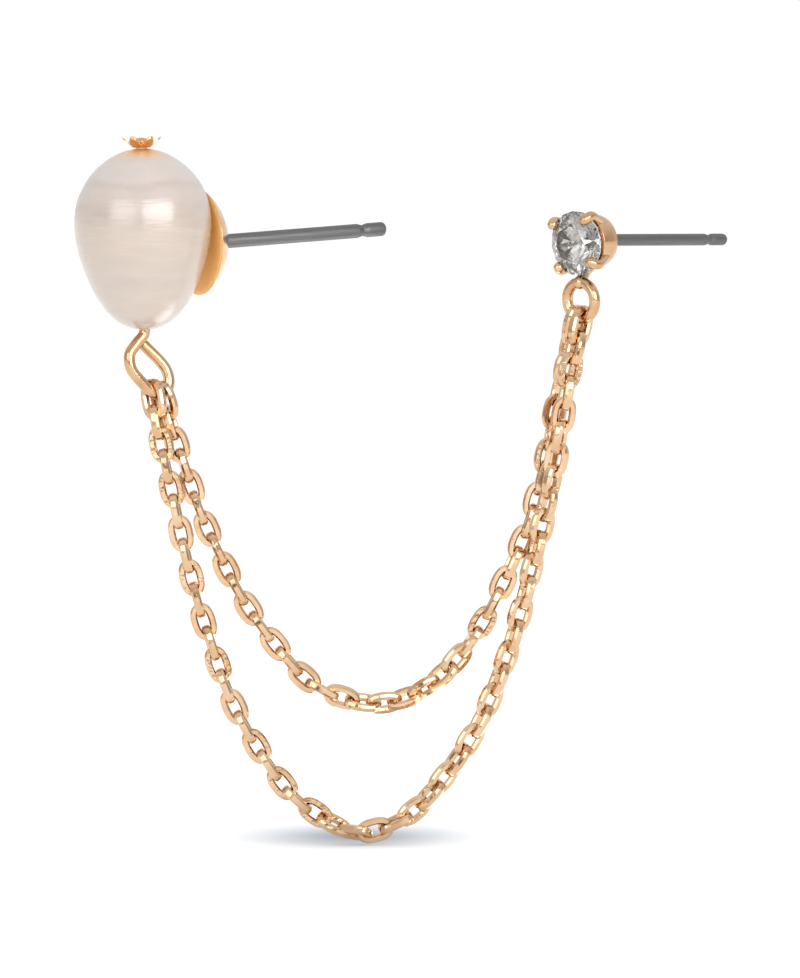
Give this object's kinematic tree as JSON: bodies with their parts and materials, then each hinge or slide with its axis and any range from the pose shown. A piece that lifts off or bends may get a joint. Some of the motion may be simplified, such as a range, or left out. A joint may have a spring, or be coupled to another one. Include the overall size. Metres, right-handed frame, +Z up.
{
  "type": "pearl and crystal double-stud earring with swag chains",
  "caption": "Earring with a drilled pearl stud and a claw-set crystal stud, joined by swagged fine cable chains; each stud has its own straight ear post.",
  "frame": {"origin": "middle of the pearl cup's domed back, where its post starts and the ear lobe sits", "axes": "+Z up as it is worn, +X from the pearl stud to the crystal stud, +Y back towards the ear"},
  "size_m": [0.0404, 0.0154, 0.0437],
  "materials": {
    "nacre": "soft pearly gloss",
    "gold_plate": "polished rose-gold plate",
    "chain_gold": "polished gold plate",
    "post_steel": "satin drawn wire",
    "crystal": "cut and polished"
  },
  "bodies": {
    "root": {"pearl": "nacre", "star_cap": "gold_plate", "eye_pin": "gold_plate", "pearl_cup": "gold_plate", "pearl_post": "post_steel", "crystal": "crystal", "crystal_setting": "gold_plate", "crystal_post": "post_steel", "upper_chain": "chain_gold", "lower_chain": "chain_gold"}
  },
  "joints": []
}
